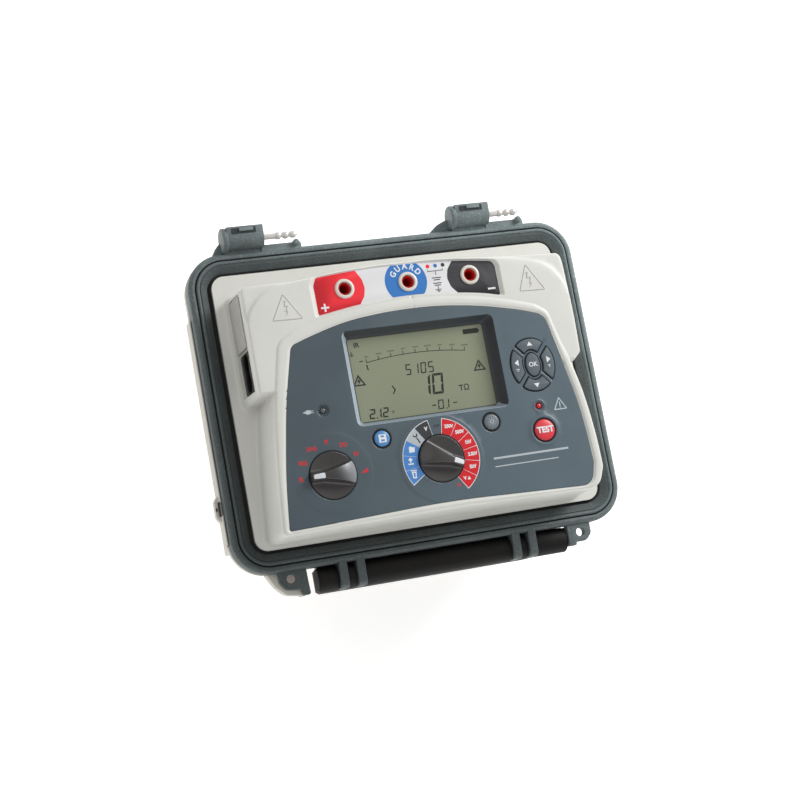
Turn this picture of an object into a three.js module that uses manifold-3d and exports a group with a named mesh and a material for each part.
// Portable high-voltage insulation resistance tester in a hard carrying case, with the lid
// lifted off its hinge pins. Millimetres: +X to the operator's right, +Y towards the hinges
// at the back, +Z up. The origin is the centre of the resting face under the feet.
import * as THREE from 'three';
import { mergeVertices } from 'three/addons/utils/BufferGeometryUtils.js';
import Module from 'manifold-3d';

const wasm = await Module();
wasm.setup();

// ---------------------------------------------------------------- driving dimensions
// Plans are rounded rectangles centred on the origin.
const FOOT_HEIGHT = 3;
const BASE_BOTTOM = FOOT_HEIGHT;
const BASE_TOP = 103;
const FLOOR = { halfX: 137, halfY: 103, radius: 26 };
const WALL_TOP = { halfX: 154.2, halfY: 118.3, radius: 27.6 };
const WALL = 3.2;
const RIM = { halfX: 156.8, halfY: 121.3, radius: 28 };
const RIM_BOTTOM = BASE_TOP + 0.4;
const COLLAR = { halfX: RIM.halfX - 0.4, halfY: RIM.halfY - 0.4, radius: WALL_TOP.radius };

const HINGE_Y = 131;
const HINGE_Z = 117;
const HINGES = {
  left: { start: -126, tabEnd: -64, pinTip: -65.6 },
  right: { start: 58, tabEnd: 120, pinTip: 117 },
};
const HANDLE_Y = -131; // pin axis of the carry handle
const HANDLE_Z = 104;
const PIN_BORE = 2.9;
// catch ribs on the front of the rim: [xMin, xMax]
const RIB_PAIRS = {
  left: [[-79.6, -73], [-65.6, -59]],
  right: [[60, 66.6], [73.4, 80]],
};
const RIBS = Object.values(RIB_PAIRS).flat();

const POST_TOP = 45; // case posts meet panel posts here
const POSTS = [[129, 55], [-129, 55], [-129, -55], [129, -55]];

const FLANGE = { halfX: 138.8, halfY: 104.2, radius: 10 };
const FLANGE_BOTTOM = 112.8;
const FLANGE_TOP = 115.3;
const BLOCK_TOP = 158.6;
const PILLOW_TOP = 160;
const CREST_TOP = 161;
const CHANNEL_FLOOR = 157;
const FASCIA_TOP = 160;
const FASCIA_THICK = 2.2;
const CAVITY_TOP = 154;
const ABOVE = 175; // cutters end here, clear of everything

const KNOB_RADIUS = 18;
const KNOB_TOP = 168.4;
// angle is the pointer's direction, in degrees from +X
const KNOBS = {
  mode: { x: -84.7, y: -61, angle: 180 },
  range: { x: -0.5, y: -60.4, angle: -22.5 },
};
const BUTTON_TOP = 161;
const BUTTON_BOTTOM = 156.3;
const NAV = { x: 85.7, y: 0 };
const LAMPS = { test: [84.5, -31.7], charge: [-83.2, -13.2] };
const SOCKET_Y = 75;
const SOCKETS = { positive: -50, guard: 0, negative: 50 }; // x
const SOCKET_BORE = 9.2;
const SOCKET_RING = 15.2;

// display well, at the glass and at the fascia: [xMin, xMax, yMin, yMax]
const GLASS = [-53.5, 54.2, -23.8, 37.8];
const BEZEL = [-59, 61, -27, 43];
const GLASS_TOP = 151;

// openings in the panel's left side
const SHUTTER = { yMin: 41.2, yMax: 80.6 };
const INLET = { yMin: 9, yMax: 40, zMin: 123.4, zMax: 150.8 };
const USB = { yMin: 53, yMax: 67, zMin: 132, zMax: 141 };

const BOARD_BOTTOM = 96;
const BOARD_TOP = 97.6;
const TRAY_Z = 6.9; // underside of the parts on the case floor

// ---------------------------------------------------------------- finishes
const finish = (settings) => new THREE.MeshStandardMaterial(settings);
const CREAM = finish({ color: 0xcfcdc5, roughness: 0.6 });
const DARK = finish({ color: 0x4a5457, roughness: 0.65 });
const PANEL = finish({ color: 0xdad9d3, roughness: 0.45 });
const SLATE = finish({ color: 0x5d6b74, roughness: 0.5 });
const BLACK = finish({ color: 0x1d1b1b, roughness: 0.55 });
const KNOB = finish({ color: 0x393433, roughness: 0.5 });
const RUBBER = finish({ color: 0x1a1a1b, roughness: 0.9 });
const STEEL = finish({ color: 0xb9b4ac, roughness: 0.25, metalness: 1 });
const WHITE = finish({ color: 0xe9e9e8, roughness: 0.4 });
const RED = finish({ color: 0xd8303a, roughness: 0.35 });
const BLUE = finish({ color: 0x4b80bd, roughness: 0.4 });
const GREY = finish({ color: 0x76848c, roughness: 0.5 });
const BOARD = finish({ color: 0x1f6b3a, roughness: 0.5 });
const BRASS = finish({ color: 0xb08d4a, roughness: 0.3, metalness: 1 });
const GLASSY = finish({ color: 0x9aa08c, roughness: 0.1 });
const LCD = finish({ color: 0x858b6f, roughness: 0.4 });
const CELL = finish({ color: 0x2a4f8f, roughness: 0.5 });
const POTTED = finish({ color: 0x242628, roughness: 0.6 });
const ZINC = finish({ color: 0x9a9ca0, roughness: 0.35, metalness: 1 });

// ---------------------------------------------------------------- solids
const QUARTER = Math.PI / 2;

// welds a closed three.js geometry into a manifold, dropping collapsed triangles
const solid = (source) => {
  source.deleteAttribute('normal');
  source.deleteAttribute('uv');
  const { attributes, index } = mergeVertices(source, 1e-3);
  const kept = [];
  for (let i = 0; i < index.array.length; i += 3) {
    const triangle = index.array.slice(i, i + 3);
    if (new Set(triangle).size === 3) kept.push(...triangle);
  }
  return new wasm.Manifold(new wasm.Mesh({
    numProp: 3,
    vertProperties: new Float32Array(attributes.position.array),
    triVerts: new Uint32Array(kept),
  }));
};
const union = (...bodies) => bodies.reduce((a, b) => a.add(b));
const cut = (body, ...cutters) => cutters.reduce((a, b) => a.subtract(b), body);

const group = new THREE.Group();
const addPiece = (name, body, material) => {
  const { vertProperties, triVerts } = body.getMesh();
  const geometry = new THREE.BufferGeometry();
  geometry.setAttribute('position', new THREE.BufferAttribute(new Float32Array(vertProperties), 3));
  geometry.setIndex(new THREE.BufferAttribute(new Uint32Array(triVerts), 1));
  geometry.computeVertexNormals();
  const mesh = new THREE.Mesh(geometry, material);
  mesh.name = name;
  group.add(mesh);
};

const box = (xMin, xMax, yMin, yMax, zMin, zMax) => solid(
  new THREE.BoxGeometry(xMax - xMin, yMax - yMin, zMax - zMin)
    .translate((xMin + xMax) / 2, (yMin + yMax) / 2, (zMin + zMax) / 2));
const rod = (radius, bottom, top, x = 0, y = 0, segments = 16, topRadius = radius) => solid(
  new THREE.CylinderGeometry(topRadius, radius, top - bottom, segments)
    .rotateX(QUARTER).translate(x, y, (bottom + top) / 2));
const rodX = (radius, xMin, xMax, y, z, segments = 16) => solid(
  new THREE.CylinderGeometry(radius, radius, xMax - xMin, segments)
    .rotateZ(-QUARTER).translate((xMin + xMax) / 2, y, z));

const area = (points) => points.reduce((total, [x, y], i) => {
  const after = points[(i + 1) % points.length];
  return total + x * after[1] - y * after[0];
}, 0) / 2;
const counterClockwise = (points) => (area(points) < 0 ? [...points].reverse() : points);
const vectors = (points) => points.map(([x, y]) => new THREE.Vector2(x, y));
const extrude = (points, depth) => new THREE.ExtrudeGeometry(
  new THREE.Shape(vectors(counterClockwise(points))), { depth, bevelEnabled: false });
const prism = (points, bottom, top) => solid(
  extrude(points, top - bottom).translate(0, 0, bottom));
// [y, z] profile swept along X
const prismX = (points, xMin, xMax) => solid(
  extrude(points, xMax - xMin).rotateX(QUARTER).rotateZ(QUARTER).translate(xMin, 0, 0));
// [x, z] profile swept along Y
const prismY = (points, yMin, yMax) => solid(
  extrude(points, yMax - yMin).rotateX(QUARTER).translate(0, yMax, 0));

// ---------------------------------------------------------------- outlines
// rounds the corners of a polygon of [x, y, radius] rows; a missing radius stays sharp
const rounded = (corners, steps = 3) => corners.flatMap(([x, y, radius = 0], i) => {
  const before = corners.at(i - 1);
  const after = corners[(i + 1) % corners.length];
  const back = new THREE.Vector2(before[0] - x, before[1] - y);
  const ahead = new THREE.Vector2(after[0] - x, after[1] - y);
  const backLength = back.length();
  const aheadLength = ahead.length();
  back.normalize();
  ahead.normalize();
  const half = Math.acos(Math.max(-1, Math.min(1, back.dot(ahead)))) / 2;
  if (radius <= 0 || QUARTER - half < 0.03) return [[x, y]];
  // the arc may use up to 0.49 of either side
  const tangent = Math.min(radius / Math.tan(half), backLength * 0.49, aheadLength * 0.49);
  const fitted = tangent * Math.tan(half);
  const corner = new THREE.Vector2(x, y);
  const centre = back.clone().add(ahead).normalize()
    .multiplyScalar(fitted / Math.sin(half)).add(corner);
  const from = corner.clone().addScaledVector(back, tangent);
  const to = corner.clone().addScaledVector(ahead, tangent);
  const start = Math.atan2(from.y - centre.y, from.x - centre.x);
  let sweep = Math.atan2(to.y - centre.y, to.x - centre.x) - start;
  while (sweep > Math.PI) sweep -= 2 * Math.PI;
  while (sweep < -Math.PI) sweep += 2 * Math.PI;
  return Array.from({ length: steps + 1 }, (_, k) => {
    const angle = start + sweep * k / steps;
    return [centre.x + fitted * Math.cos(angle), centre.y + fitted * Math.sin(angle)];
  });
});

const roundedRect = ({ halfX, halfY, radius, x = 0, y = 0 }, growth = 0, steps = 5) => {
  const arc = radius + growth;
  const reachX = halfX + growth - arc;
  const reachY = halfY + growth - arc;
  return [[1, 1], [-1, 1], [-1, -1], [1, -1]].flatMap(([signX, signY], quarter) =>
    Array.from({ length: steps + 1 }, (_, k) => {
      const angle = (quarter + k / steps) * QUARTER;
      return [
        x + signX * reachX + arc * Math.cos(angle),
        y + signY * reachY + arc * Math.sin(angle)];
    }));
};
const ellipse = (x, y, radiusX, radiusY, segments) =>
  Array.from({ length: segments }, (_, k) => {
    const angle = 2 * Math.PI * k / segments;
    return [x + radiusX * Math.cos(angle), y + radiusY * Math.sin(angle)];
  });

// moves every point of a counter-clockwise polygon outwards
const grow = (points, distance) => points.map(([x, y], i) => {
  const before = points.at(i - 1);
  const after = points[(i + 1) % points.length];
  const normal = new THREE.Vector2(y - before[1], before[0] - x).normalize();
  const nextNormal = new THREE.Vector2(after[1] - y, x - after[0]).normalize();
  const mitre = normal.clone().add(nextNormal).normalize();
  const reach = distance / Math.max(0.5, mitre.dot(normal));
  return [x + mitre.x * reach, y + mitre.y * reach];
});
// grows a polygon of [x, y, radius] rows, then rounds it; the point count never changes,
// so that outlines of one polygon can be lofted together
const outline = (corners, growth = 0) => {
  const control = counterClockwise(corners);
  const sharp = grow(control, growth);
  return rounded(control.map(([x, y, radius = 0], i) => {
    if (radius <= 0) return sharp[i];
    const before = control.at(i - 1);
    const after = control[(i + 1) % control.length];
    const turn = (x - before[0]) * (after[1] - y) - (y - before[1]) * (after[0] - x);
    return [...sharp[i], Math.max(0.3, turn > 0 ? radius + growth : radius - growth)];
  }));
};

// ---------------------------------------------------------------- stitched solids
// triangles between successive rings; a closed skin also joins the last ring to the first
const skin = (rings, closed) => {
  const size = rings[0].length;
  const bands = closed ? rings.length : rings.length - 1;
  const triangles = [];
  for (let band = 0; band < bands; band++) {
    const lower = band * size;
    const upper = ((band + 1) % rings.length) * size;
    for (let i = 0; i < size; i++) {
      const next = (i + 1) % size;
      triangles.push(lower + i, lower + next, upper + next, lower + i, upper + next, upper + i);
    }
  }
  return triangles;
};
const stitch = (rings, triangles) => {
  const source = new THREE.BufferGeometry();
  source.setAttribute('position', new THREE.Float32BufferAttribute(rings.flat(2), 3));
  source.setIndex(triangles);
  return solid(source);
};
// capped solid through matching outlines: [[outline, z], ...] from the bottom up
const loft = (stack) => {
  const rings = stack.map(([points, z]) => points.map(([x, y]) => [x, y, z]));
  const triangles = skin(rings, false);
  const capFaces = (ring) => THREE.ShapeUtils.triangulateShape(vectors(ring), []);
  capFaces(rings[0]).forEach(([a, b, c]) => triangles.push(a, c, b));
  const top = (rings.length - 1) * rings[0].length;
  capFaces(rings.at(-1)).forEach(([a, b, c]) => triangles.push(top + a, top + b, top + c));
  return stitch(rings, triangles);
};
// ring swept round the rim; section rows are [inset from the rim's outer edge, z],
// up the outside and down the inside
const rimRing = (section) => {
  const rings = section.map(([inset, z]) => roundedRect({
    halfX: RIM.halfX - inset,
    halfY: RIM.halfY - inset,
    radius: Math.max(3, RIM.radius - inset),
  }).map(([x, y]) => [x, y, z]));
  return stitch(rings, skin(rings, true));
};

const postRods = (radius, bottom, top, segments) =>
  POSTS.map(([x, y]) => rod(radius, bottom, top, x, y, segments));

// ---------------------------------------------------------------- case base
const baseOuter = () => {
  const shoulder = {
    halfX: WALL_TOP.halfX - 2.7,
    halfY: WALL_TOP.halfY - 2.4,
    radius: WALL_TOP.radius - 0.2,
  };
  const collarFoot = { ...COLLAR, halfX: COLLAR.halfX - 0.4, halfY: COLLAR.halfY - 0.4 };
  return loft([
    [roundedRect(FLOOR, -3.6), BASE_BOTTOM],
    [roundedRect(FLOOR, -1.1), BASE_BOTTOM + 1.1],
    [roundedRect(FLOOR), BASE_BOTTOM + 4],
    [roundedRect(shoulder), BASE_TOP - 15],
    [roundedRect(collarFoot), BASE_TOP - 9.5],
    [roundedRect(COLLAR), BASE_TOP]]);
};
const baseInner = () => {
  const floor = {
    halfX: FLOOR.halfX - 6 - WALL,
    halfY: FLOOR.halfY - 6 - WALL,
    radius: FLOOR.radius - 7,
  };
  return loft([
    [roundedRect(floor), BASE_BOTTOM + 3.5],
    [roundedRect(FLOOR, -WALL), BASE_BOTTOM + 9],
    [roundedRect(WALL_TOP, -WALL), BASE_TOP + 1]]);
};

// raised pad on each side wall, lapping up outside the rim; side is +1 right, -1 left
const sidePad = (side) => {
  const slope = (WALL_TOP.halfX - FLOOR.halfX) / (BASE_TOP - 8);
  const wallX = (z) => FLOOR.halfX + slope * (z - 8);
  const profile = [
    [wallX(10) - 2, 10], [wallX(13) + 1.6, 13], [wallX(86) + 1.6, 86], [157.8, 94.5],
    [158.2, 108.5], [RIM.halfX + 0.3, 108.5], [RIM.halfX + 0.3, 102.8], [152, 102.8]];
  return prismY(profile.map(([x, z]) => [side * x, z]), -95, 75);
};
// strap eye standing on the side pad
const strapEye = (side) => {
  const tab = [
    [157.2, -58], [159.4, -58.6, 1.5], [161.4, -61.4, 3],
    [161.4, -73.6, 3], [159.4, -76.4, 1.5], [157.2, -77]];
  return cut(
    prism(rounded(tab.map(([x, y, radius]) => [side * x, y, radius])), 98, 104),
    rod(0.8, 97, 105, side * 160.2, -67.5, 10));
};
// gusset under the left padlock plate, wrapped round the rim's skirt
const gusset = () => {
  const plan = rounded([
    [-134, -106], [-133, -121.6, 3], [-127.6, -131.2, 8], [-120.4, -138.4, 8],
    [-108, -140.45, 2], [-105, -137, 2], [-105, -106]], 4);
  const rimSpace = { ...RIM, halfX: RIM.halfX + 0.4, halfY: RIM.halfY + 0.4 };
  return cut(
    prism(plan, 74, 108.6),
    prism(roundedRect(rimSpace), RIM_BOTTOM - 0.4, 120),
    baseInner(),
    box(-109.2, -102, -142, -118, 95.6, 115), // room for the plate's lug
    prismX([[-150, 60], [-150, 90], [-118, 73]], -140, -100)); // sloping underside
};
const caseBase = () => {
  const shell = cut(union(baseOuter(), sidePad(1), sidePad(-1)), baseInner());
  const withEyes = cut(
    union(shell, strapEye(1), strapEye(-1)),
    box(157.1, 159.1, -73, -62, 90, 112),
    box(-159.1, -157.1, -73, -62, 90, 112));
  const withPosts = cut(
    union(withEyes, ...postRods(5.8, BASE_BOTTOM + 1, POST_TOP - 0.4, 16)),
    ...postRods(4.2, BASE_BOTTOM - 1, 33.5, 16), // screw head wells
    ...postRods(2.3, 30, POST_TOP + 1, 12));
  return union(withPosts, gusset());
};
addPiece('case_base', caseBase(), CREAM);

// ---------------------------------------------------------------- rim
// [inset, z] rows
const RIM_INNER_FACE = [[14.5, 112.4], [19.5, 112.4], [19.5, 109], [14, 109], [9, RIM_BOTTOM]];
const RIM_SECTION = [
  [0, RIM_BOTTOM], [0, 115], [1.6, 117.3], [3.6, 117], [4.3, 115.2], [6.3, 115.2],
  [6.8, 117.6], [8.3, 118], [9.2, 116.6], [14.5, 115.2], ...RIM_INNER_FACE];
// everything below and inside the rim, to trim what is added to it
const RIM_TRIM_SECTION = [
  [0, 90], [0, RIM_BOTTOM], ...[...RIM_INNER_FACE].reverse(), [14.5, 125], [60, 125], [60, 90]];
const SEAL_SECTION = [
  [4.65, 115.5], [4.65, 116.5], [5.3, 116.9], [5.95, 116.5], [5.95, 115.5]];
const RIB_PROFILE = [ // [y, z, radius]
  [-119.5, 116], [-138.4, 115.5, 3], [-140.45, 112, 3],
  [-140.45, 98, 4], [-135.6, 92, 4], [-119.5, 97.6]];

// hinge barrel with end cap, webs, top rib, tab and locating peg
const hinge = ({ start, tabEnd }) => {
  const end = start + 32;
  const endWeb = [
    [start - 8, 119.5], [start + 1, HINGE_Y], [start + 7, HINGE_Y], [start + 7, 119.5]];
  const backRidge = [
    [HINGE_Y, HINGE_Z - 2], [HINGE_Y + 7.9, HINGE_Z - 1],
    [HINGE_Y + 8.3, HINGE_Z + 8.4], [HINGE_Y - 1.2, HINGE_Z + 7.85]];
  return cut(
    union(
      rodX(8, start + 3.4, end, HINGE_Y, HINGE_Z, 18),
      rodX(9.6, start, start + 4, HINGE_Y, HINGE_Z, 18),
      box(start + 2, end - 1, 119, HINGE_Y + 2, 107, HINGE_Z - 2),
      prism(endWeb, 106, 112),
      box(end - 2, tabEnd, 119, 125, 108, 116.6),
      rod(2.3, 112, 120, tabEnd - 4.4, 123.6, 14),
      prismX(backRidge, start + 3.8, end),
      box(start + 11, end - 9, HINGE_Y + 3, HINGE_Y + 6, HINGE_Z + 7, HINGE_Z + 9.4)),
    rodX(2.6, start + 6, end + 1, HINGE_Y, HINGE_Z, 10));
};
const leftPadlockPlate = () => union(
  prism(rounded([
    [-127.5, -112], [-125.6, -121.2, 2], [-125.3, -129, 4], [-121.5, -134.6, 5],
    [-109.8, -135.8, 1.5], [-109.2, -140.45, 1.5], [-103.2, -140.45, 1.5],
    [-103.8, -130, 3], [-104.4, -112]], 4), 109, 114.2),
  box(-108.9, -103.6, -140.2, -119.5, 96, 114.2));
const rightPadlockPlate = () => cut(
  union(
    prism(rounded([
      [107.2, -112], [107.2, -137.4, 1.5], [113, -137.4, 1.5], [113.2, -134.8, 0.5],
      [121.5, -134.8, 4], [126.8, -130, 5], [127.2, -112]], 4), 108, 114.2),
    prismX([[-119.5, 113], [-137, 113], [-137, 100], [-119.5, 97.2]], 107.4, 113)),
  rod(3.3, 100, 120, 117.8, -127.6, 20));
const caseRim = () => cut(
  union(
    rimRing(RIM_SECTION),
    ...Object.values(HINGES).map(hinge),
    ...RIBS.map(([xMin, xMax]) => prismX(rounded(RIB_PROFILE), xMin, xMax)),
    leftPadlockPlate(),
    rightPadlockPlate()),
  rimRing(RIM_TRIM_SECTION),
  ...RIBS.map(([xMin, xMax]) => rodX(PIN_BORE, xMin - 1, xMax + 1, HANDLE_Y, HANDLE_Z, 12)));
addPiece('case_rim', caseRim(), DARK);
addPiece('rim_seal', rimRing(SEAL_SECTION), RUBBER);

// ---------------------------------------------------------------- feet and hinge pins
Object.entries({
  front_right: [112, -80], front_left: [-112, -80], rear_left: [-112, 80], rear_right: [112, 80],
}).forEach(([corner, [x, y]]) =>
  addPiece('foot_' + corner, rod(9, 0, FOOT_HEIGHT - 0.05, x, y, 20, 10), RUBBER));

// plain shank with a double-barbed tip
const hingePin = ({ start, pinTip }) => {
  const root = start + 6.5;
  const profile = [ // [radius, x]
    [0, root], [2.25, root], [2.25, pinTip - 17.5], [2.9, pinTip - 15], [1.7, pinTip - 12],
    [2.9, pinTip - 9], [1.7, pinTip - 6.2], [2.9, pinTip - 4], [0.8, pinTip - 0.3], [0, pinTip]];
  return solid(new THREE.LatheGeometry(vectors(profile), 10)
    .rotateZ(-QUARTER).translate(0, HINGE_Y, HINGE_Z));
};
Object.entries(HINGES).forEach(([side, place]) =>
  addPiece('hinge_pin_' + side, hingePin(place), STEEL));

// ---------------------------------------------------------------- carry handle
const HANDLE_LEFT = -95.2;
const HANDLE_RIGHT = 106.8;
const HANDLE_BOTTOM = 41;

// slotted barrel, two side plates and a grip
const carryHandle = () => {
  const plate = rounded([ // [y, z, radius]
    [-123.4, HANDLE_Z], [-123.4, HANDLE_BOTTOM + 6], [-126, HANDLE_BOTTOM, 6],
    [-136, HANDLE_BOTTOM, 6], [-139, HANDLE_BOTTOM + 6], [-139.4, HANDLE_Z - 3]]);
  const opening = rounded([[-50, 62, 9], [50, 62, 9], [50, 92, 9], [-50, 92, 9]], 4);
  // front view: the side plates draw in towards the grip
  const face = rounded([
    [HANDLE_LEFT, 118], [HANDLE_LEFT, 95], [HANDLE_LEFT + 18, HANDLE_BOTTOM, 14],
    [HANDLE_RIGHT - 18, HANDLE_BOTTOM, 14], [HANDLE_RIGHT, 95], [HANDLE_RIGHT, 118]], 5);
  const body = union(
    rodX(9.6, HANDLE_LEFT, HANDLE_RIGHT, HANDLE_Y, HANDLE_Z, 18),
    prismX(plate, HANDLE_LEFT, HANDLE_RIGHT));
  return cut(
    cut(body, prismY(opening, -160, -100)).intersect(prismY(face, -160, -100)),
    ...RIBS.map(([xMin, xMax]) => rodX(18.5, xMin - 0.4, xMax + 0.4, HANDLE_Y, HANDLE_Z, 20)),
    ...Object.values(RIB_PAIRS).map(([first, second]) =>
      rodX(PIN_BORE, first[1] - 1, second[0] + 1, HANDLE_Y, HANDLE_Z, 12)));
};
addPiece('carry_handle', carryHandle(), BLACK);
Object.entries(RIB_PAIRS).forEach(([side, [first, second]]) => addPiece(
  'handle_pin_' + side,
  rodX(2.5, first[0] + 0.2, second[1] - 0.2, HANDLE_Y, HANDLE_Z, 12),
  STEEL));

// ---------------------------------------------------------------- panel moulding
// control polygons: [x, y, radius]
const BLOCK = [ // rear terminal block
  [-128.8, 3.6, 2], [-20, 3.6], [30, -4], [121.5, -0.4, 1], [127.8, 5.6, 1.5], [128.9, 38],
  [127.9, 76, 8], [126.6, 84.6, 5], [111, 85.4], [86, 86.2], [60, 88.4], [30, 90.4], [0, 91],
  [-30, 90.6], [-60, 88.6], [-86, 85.1], [-112, 85.2], [-128.8, 84.4, 2]];
const CONSOLE = [ // front part, which carries the fascia
  [-129.2, -99.8, 4], [-60, -98.4], [0, -97.6], [60, -98.6], [121, -99.8, 12],
  [127.2, -84, 10], [126.9, -66], [125.8, -48.6], [123.2, -25.5], [118.3, -2.1],
  [111.3, 18.8], [106.6, 40, 10], [97, 46.6, 10], [75, 53], [47, 58.6], [22, 61.2], [0, 62],
  [-22, 61.1], [-47.2, 58.4], [-76.2, 53.4], [-97, 47.4, 10], [-109, 40.6, 12],
  [-116, 9.4], [-120.8, -14.2], [-125.6, -55]];
const FASCIA = [
  [-123.8, -96.8, 2], [-60, -94.8], [0, -92.6], [60, -95], [115.5, -97, 10], [120, -80, 8],
  [118.8, -50], [115.9, -25.8], [108.5, 10.8], [103.4, 35, 7], [98.5, 39, 6], [84.3, 43.4],
  [54, 50.2], [22.8, 53.8], [0, 54.5], [-22.8, 53.8], [-53.9, 50.6], [-80.6, 43.3],
  [-99.2, 37, 7], [-110, -4], [-120, -60]];
const CHANNEL = [ // sunk floor round the sockets
  [-76.6, 54.6], [-77.2, 80, 4], [-74, 86.6, 3], [-40, 89.2], [0, 90.1], [40, 88.4],
  [72, 84.4, 4], [74.6, 80, 3], [74.6, 54.6], [60, 58.2], [47, 60.2], [22, 62.8],
  [0, 63.6], [-22, 62.7], [-47, 60], [-62, 57.6]];
// raised pads on the block, either side of the channel
const LEFT_PILLOW = [
  [-128.2, 4], [-129, 57, 20], [-122, 75, 20], [-103, 83, 16], [-80, 84.6],
  [-77.4, 80], [-77, 50], [-100, 42], [-110, 4]];
const RIGHT_PILLOW = [
  [127.2, 6], [128, 44], [124, 66, 14], [112, 78.6, 14], [94, 83.2, 10], [78, 84],
  [75.2, 80], [75, 50], [100, 40], [112, 4]];

const panelBody = () => union(
  loft([
    [roundedRect(FLANGE), FLANGE_BOTTOM],
    [roundedRect(FLANGE), FLANGE_TOP - 0.8],
    [roundedRect(FLANGE, -1), FLANGE_TOP]]),
  loft([
    [outline(BLOCK, 1.4), FLANGE_BOTTOM + 1],
    [outline(BLOCK, 0.2), BLOCK_TOP - 1.2],
    [outline(BLOCK, -0.7), BLOCK_TOP]]),
  loft([
    [outline(CONSOLE, 2), FLANGE_BOTTOM + 1],
    [outline(CONSOLE, 0.2), CREST_TOP - 2],
    [outline(CONSOLE, -1.6), CREST_TOP]]),
  ...[LEFT_PILLOW, RIGHT_PILLOW].map((pillow) =>
    prism(rounded(pillow, 4), BLOCK_TOP - 1, PILLOW_TOP)));
// hollow under part of the panel, kept solid at the left from yMin back for the side pocket
const cavity = (corners, topInset, yMin) => cut(
  loft([[outline(corners, -2.4), 100], [outline(corners, -topInset), CAVITY_TOP]]),
  box(-140, -119, yMin, 95, 99, ABOVE));
const socketHoles = (radius, bottom) =>
  Object.values(SOCKETS).map((x) => rod(radius, bottom, ABOVE, x, SOCKET_Y, 18));
const panelMoulding = () => {
  const hollow = cut(
    panelBody(),
    prism(outline(CHANNEL), CHANNEL_FLOOR, ABOVE),
    prism(outline(FASCIA, 0.4), FASCIA_TOP - FASCIA_THICK - 0.3, ABOVE), // fascia seat
    prism(outline(FASCIA, -4.5), 100, ABOVE),
    cavity(BLOCK, 3.4, -20),
    cavity(CONSOLE, 4, 0),
    ...socketHoles(6.2, 140));
  return cut(
    union(hollow, ...postRods(4.2, POST_TOP, FLANGE_BOTTOM + 1, 16)),
    ...postRods(1.9, POST_TOP - 1, 66, 12),
    box(-140, -128.1, INLET.yMin - 0.6, SHUTTER.yMax + 1, 121.8, 152.4), // pocket face
    box(-129.2, -127.4, INLET.yMin - 0.6, SHUTTER.yMax + 1, 120.6, 153.6), // shutter grooves
    box(-131, -100, INLET.yMin, INLET.yMax, INLET.zMin, INLET.zMax),
    box(-131, -100, USB.yMin, USB.yMax, USB.zMin, USB.zMax));
};
addPiece('panel_moulding', panelMoulding(), PANEL);

// ---------------------------------------------------------------- side pocket
const portShutter = () => cut(
  union(
    box(-129, -127.8, SHUTTER.yMin, SHUTTER.yMax, 121, 153.2),
    box(-129.9, -128.5, SHUTTER.yMin, SHUTTER.yMax, 122.2, 152)),
  box(-131, -129.5, SHUTTER.yMin + 3, SHUTTER.yMax - 3, 124, 150));
// inlet with a figure-of-eight recess and two contact pins
const powerInlet = () => {
  const middleY = (INLET.yMin + INLET.yMax) / 2;
  const middleZ = 137;
  const lobes = [middleY - 5.9, middleY + 5.9];
  const recess = union(
    ...lobes.map((y) => rodX(8.4, -128, -113, y, middleZ, 20)),
    box(-128, -113, ...lobes, middleZ - 6, middleZ + 6));
  const body = box(-127.1, -108,
    INLET.yMin + 0.4, INLET.yMax - 0.4, INLET.zMin + 0.4, INLET.zMax - 0.4);
  const pins = [-4.5, 4.5].map((offset) =>
    rodX(1.3, -120, -112, middleY + offset, middleZ, 10));
  return union(cut(body, recess), ...pins);
};
const usbPort = () => {
  const shell = (xMin, xMax, inset) => box(xMin, xMax,
    USB.yMin + inset, USB.yMax - inset, USB.zMin + inset, USB.zMax - inset);
  return union(
    cut(shell(-126.6, -112, 0.4), shell(-128, -115, 1.4)),
    box(-122, -114, 56, 64, 137.2, 138.8));
};
addPiece('port_shutter', portShutter(), PANEL);
addPiece('power_inlet', powerInlet(), BLACK);
addPiece('usb_port', usbPort(), ZINC);

// ---------------------------------------------------------------- fascia
const BUTTONS = [
  { name: 'save', x: -43, y: -39.7, radius: 5.9, hole: 7.4, holeSegments: 20, material: BLUE },
  { name: 'backlight', x: 43.9, y: -38.8, radius: 5.9, hole: 7.4, holeSegments: 20, material: GREY },
  { name: 'test', x: 85, y: -50.5, radius: 8.3, hole: 9.3, holeSegments: 22, material: RED, domed: true },
];
// arrow keys are quarters of an elliptical ring, each cut out by a triangle from its centre
const NAV_OUTER = [17.4, 20];
const NAV_INNER = [8.6, 12];
const NAV_WEDGES = {
  up: [[0, 0], [-40, 46], [40, 46]],
  down: [[0, 0], [40, -46], [-40, -46]],
  left: [[0, 0], [-40, -46], [-40, 46]],
  right: [[0, 0], [40, 46], [40, -46]],
};
const aroundNav = (points) => points.map(([x, y]) => [NAV.x + x, NAV.y + y]);
const navEllipse = ([radiusX, radiusY], growth, segments) =>
  ellipse(NAV.x, NAV.y, radiusX + growth, radiusY + growth, segments);
// the two diagonal bars that part the arrow keys
const navBars = (width) => {
  const diagonal = Math.atan2(NAV_OUTER[1], NAV_OUTER[0]);
  const half = width / 2;
  return [diagonal, -diagonal].map((angle) => {
    const cos = Math.cos(angle);
    const sin = Math.sin(angle);
    const bar = [[-40, -half], [40, -half], [40, half], [-40, half]];
    return prism(aroundNav(bar.map(([x, y]) => [x * cos - y * sin, x * sin + y * cos])), 140, ABOVE);
  });
};
const navKey = (direction, growth, gap, bottom, top) => cut(
  prism(navEllipse(NAV_OUTER, growth, 28), bottom, top),
  prism(navEllipse(NAV_INNER, -growth, 24), 140, ABOVE),
  ...navBars(gap)).intersect(prism(aroundNav(NAV_WEDGES[direction]), 140, ABOVE));
const okKey = (growth, bottom, top) => prism(navEllipse([5.6, 8.8], growth, 20), bottom, top);

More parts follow.
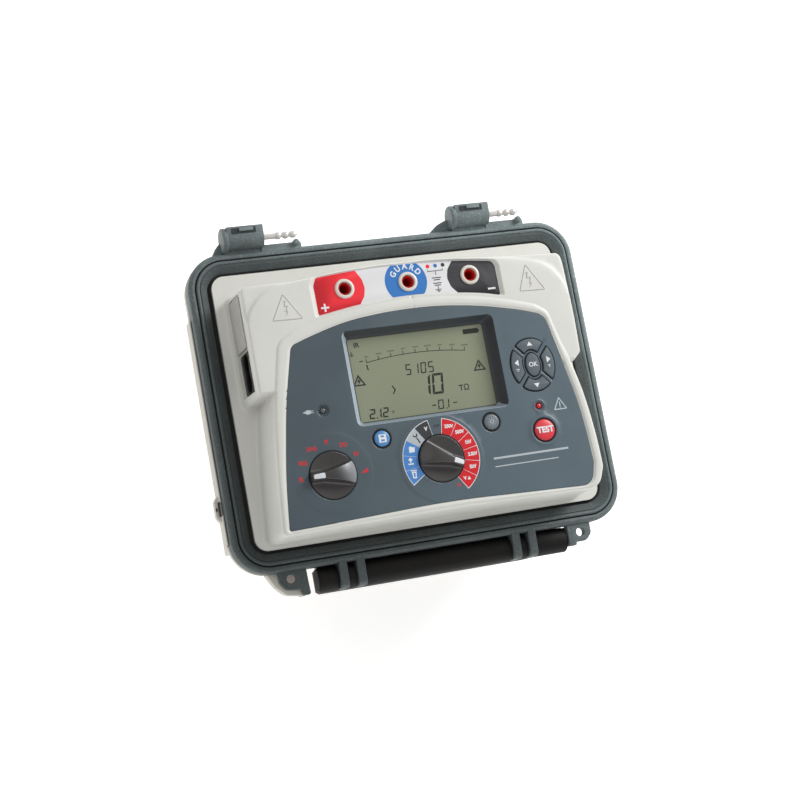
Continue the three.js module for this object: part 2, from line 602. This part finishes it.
const windowOutline = ([xMin, xMax, yMin, yMax], growth, radius) => roundedRect({
  halfX: (xMax - xMin) / 2,
  halfY: (yMax - yMin) / 2,
  radius,
  x: (xMin + xMax) / 2,
  y: (yMin + yMax) / 2,
}, growth, 4);
const keypadFascia = () => {
  const wellWall = loft([
    [windowOutline(GLASS, 2.2, 1.5), GLASS_TOP + 0.3],
    [windowOutline(BEZEL, 1.6, 5), FASCIA_TOP - 1]]);
  const wellHole = loft([
    [windowOutline(GLASS, 0, 1.5), GLASS_TOP - 1],
    [windowOutline(GLASS, 0, 1.5), GLASS_TOP + 0.6],
    [windowOutline(BEZEL, 0, 5), FASCIA_TOP + 0.5]]);
  const plate = prism(outline(FASCIA), FASCIA_TOP - FASCIA_THICK, FASCIA_TOP);
  return cut(
    union(plate, wellWall),
    wellHole,
    ...Object.values(KNOBS).map(({ x, y }) => rod(KNOB_RADIUS + 0.7, 150, ABOVE, x, y, 28)),
    ...BUTTONS.map(({ x, y, hole, holeSegments }) => rod(hole, 150, ABOVE, x, y, holeSegments)),
    ...Object.values(LAMPS).map((place) => rod(2.5, 150, ABOVE, ...place, 16)),
    ...Object.values(LAMPS).map((place) => rod(2.5, 158.4, 160.5, ...place, 14, 4.6)),
    okKey(0.9, 150, ABOVE),
    ...Object.keys(NAV_WEDGES).map((direction) => navKey(direction, 0.9, 2.6, 150, ABOVE)));
};
addPiece('keypad_fascia', keypadFascia(), SLATE);

// ---------------------------------------------------------------- terminals
const terminalLabel = () => cut(
  prism(outline(CHANNEL, -0.8), CHANNEL_FLOOR + 0.3, CHANNEL_FLOOR + 1),
  ...socketHoles(6.3, 150));
const socketRing = (x) => {
  const radius = SOCKET_RING / 2;
  return cut(
    union(
      rod(radius, CHANNEL_FLOOR + 1.3, CHANNEL_FLOOR + 2.3, x, SOCKET_Y, 20, radius - 0.5),
      rod(5.9, 147, CHANNEL_FLOOR + 1.5, x, SOCKET_Y, 18)),
    rod(SOCKET_BORE / 2 + 0.3, 146, ABOVE, x, SOCKET_Y, 18));
};
const socketLiner = (x) => cut(
  rod(SOCKET_BORE / 2, 118, CHANNEL_FLOOR + 1.9, x, SOCKET_Y, 18),
  rod(3.4, 123, ABOVE, x, SOCKET_Y, 16),
  rod(2.3, 100, 124, x, SOCKET_Y, 12));
addPiece('terminal_label', terminalLabel(), WHITE);
Object.entries(SOCKETS).forEach(([name, x]) => {
  addPiece('socket_' + name, socketRing(x), CREAM);
  addPiece('liner_' + name, socketLiner(x), RED);
  addPiece('contact_' + name, rod(2, 110, 140, x, SOCKET_Y, 12), BRASS);
});

// ---------------------------------------------------------------- rotary knobs
const DOME_RADIUS = 46;
const dome = (growth) => solid(new THREE.SphereGeometry(DOME_RADIUS + growth, 28, 18)
  .rotateX(QUARTER).translate(0, 0, KNOB_TOP - DOME_RADIUS));
const placeKnob = (body, { x, y, angle }) => body.rotate([0, 0, angle]).translate([x, y, 0]);
// disc and shaft with a domed grip, narrow at the pointer and wide at the tail
const knob = (place) => {
  const gripPlan = rounded([
    [17.4, -2.6, 1.5], [17.4, 2.6, 1.5], [-8, 5.2], [-15, 9.4, 2], [-15, -9.4, 2],
    [-8, -5.2]], 2);
  const pointerSlot = rounded([
    [16.6, -1.9, 1], [16.6, 1.9, 1], [8.4, 2.3, 1], [8.4, -2.3, 1]], 2);
  const grip = prism(gripPlan, FASCIA_TOP - 1, KNOB_TOP)
    .intersect(dome(0))
    .intersect(rod(KNOB_RADIUS - 0.2, 150, ABOVE, 0, 0, 28));
  const body = union(
    rod(KNOB_RADIUS - 0.5, FASCIA_TOP - 3, FASCIA_TOP - 1.6, 0, 0, 28, KNOB_RADIUS),
    rod(KNOB_RADIUS, FASCIA_TOP - 1.6, FASCIA_TOP + 0.5, 0, 0, 28),
    grip,
    rod(6, 153, FASCIA_TOP - 2.5, 0, 0, 20),
    rod(3, 142.5, 153.5));
  return placeKnob(cut(body, prism(pointerSlot, KNOB_TOP - 2.8, ABOVE)), place);
};
const pointer = (place) => {
  const plan = rounded([
    [16.2, -1.6, 0.9], [16.2, 1.6, 0.9], [8.8, 2, 0.9], [8.8, -2, 0.9]], 2);
  return placeKnob(prism(plan, KNOB_TOP - 2.5, KNOB_TOP - 0.6).intersect(dome(0.2)), place);
};
const rotarySwitch = ({ x, y }) => cut(
  union(rod(14, 138, 148, x, y, 20), rod(7, 147, 150, x, y, 20)),
  rod(3.3, 142, ABOVE, x, y));
Object.entries(KNOBS).forEach(([name, place]) => {
  addPiece(name + '_knob', knob(place), KNOB);
  addPiece(name + '_pointer', pointer(place), WHITE);
});
Object.entries(KNOBS).forEach(([name, place]) =>
  addPiece(name + '_switch', rotarySwitch(place), POTTED));

// ---------------------------------------------------------------- push buttons and lamps
const buttonCap = ({ x, y, radius, domed }) => {
  const parts = [
    rod(radius, BUTTON_BOTTOM, BUTTON_TOP - 0.6, x, y, 20),
    rod(radius, BUTTON_TOP - 0.6, BUTTON_TOP, x, y, 20, radius - 0.7)];
  if (domed) parts.push(rod(radius - 0.7, BUTTON_TOP, BUTTON_TOP + 0.7, x, y, 20, radius - 3));
  return union(...parts);
};
const lamp = (place) => union(
  rod(2.2, 153.8, 159.2, ...place, 10),
  rod(2.2, 159.2, 160.2, ...place, 10, 1.1));
const keypadMat = () => cut(
  union(box(-52, 68, -49, -30, 152.6, 153.8), box(64, 106, -62, 22, 152.6, 153.8)),
  rod(21, 150, ABOVE, KNOBS.range.x, KNOBS.range.y, 28),
  rod(3.4, 150, ABOVE, ...LAMPS.test));
BUTTONS.forEach((button) => addPiece(button.name + '_button', buttonCap(button), button.material));
Object.keys(NAV_WEDGES).forEach((direction) =>
  addPiece('nav_' + direction, navKey(direction, 0, 4.4, BUTTON_BOTTOM, BUTTON_TOP), GREY));
addPiece('ok_button', okKey(0, BUTTON_BOTTOM, BUTTON_TOP), GREY);
addPiece('test_led', lamp(LAMPS.test), RED);
addPiece('charge_led', lamp(LAMPS.charge), WHITE);
addPiece('keypad_mat', keypadMat(), RUBBER);

// ---------------------------------------------------------------- display and boards
const SPACERS = [[-94, -82], [104, -82], [-94, 20], [104, 20]];
const lcdModule = () => box(
  GLASS[0] - 3, GLASS[1] + 3, GLASS[2] - 2, GLASS[3] + 3, 142, GLASS_TOP - 1.7);
const displayBoard = () => cut(
  box(-100, 110, -88, 26, 150.6, 152.2),
  box(-59, 60, -28, 60, 149, ABOVE),
  ...Object.values(KNOBS).map(({ x, y }) => rod(7.4, 149, ABOVE, x, y, 20)));
const mainBoard = () => cut(
  box(-104, 114, -90, 60, BOARD_BOTTOM, BOARD_TOP),
  ...SPACERS.map(([x, y]) => rod(1.7, 95, 99, x, y, 12)));
const beeper = () => cut(
  rod(7, BOARD_TOP + 0.3, 105, 40, -70, 20),
  rod(1.5, 103, 106, 40, -70, 10));
addPiece('lcd_window', prism(windowOutline(GLASS, 2, 1), GLASS_TOP - 1.4, GLASS_TOP), GLASSY);
addPiece('lcd_module', lcdModule(), LCD);
addPiece('display_board', displayBoard(), BOARD);
addPiece('main_board', mainBoard(), BOARD);
SPACERS.forEach(([x, y], i) =>
  addPiece(`board_spacer_${i + 1}`, rod(3.2, BOARD_TOP + 0.3, 150.3, x, y, 6), BRASS));
addPiece('beeper', beeper(), BLACK);

// ---------------------------------------------------------------- parts on the case floor
const powerSupply = () => union(
  box(-108, -40, 68, 92, TRAY_Z, 8.5),
  box(-100, -74, 70, 90, 8.5, 36),
  box(-68, -60, 70, 90, 8.5, 30),
  box(-54, -44, 72, 88, 8.5, 22));
const highVoltageModule = () => union(
  box(-22, 108, -70, 78, TRAY_Z, 62),
  box(-10, 20, 30, 60, 62, 84),
  box(40, 100, -50, 60, 62, 78));
// four cells lying along Y in a tray
const batteryPack = () => {
  const cells = [0, 1, 2, 3].map((i) => solid(
    new THREE.CylinderGeometry(11.5, 11.5, 130, 16).translate(-108 + i * 21.5, 0, 20)));
  return union(...cells, box(-119.5, -32, -62, 62, TRAY_Z, 20));
};
const panelScrew = (x, y) => cut(
  union(rod(3.8, 30.4, 33.3, x, y, 14), rod(1.6, 33, 62, x, y, 10)),
  rod(1.5, 29, 32, x, y, 6));
addPiece('power_supply', powerSupply(), BOARD);
addPiece('hv_module', highVoltageModule(), POTTED);
addPiece('battery_pack', batteryPack(), CELL);
POSTS.forEach(([x, y], i) => addPiece(`panel_screw_${i + 1}`, panelScrew(x, y), STEEL));

export default group;
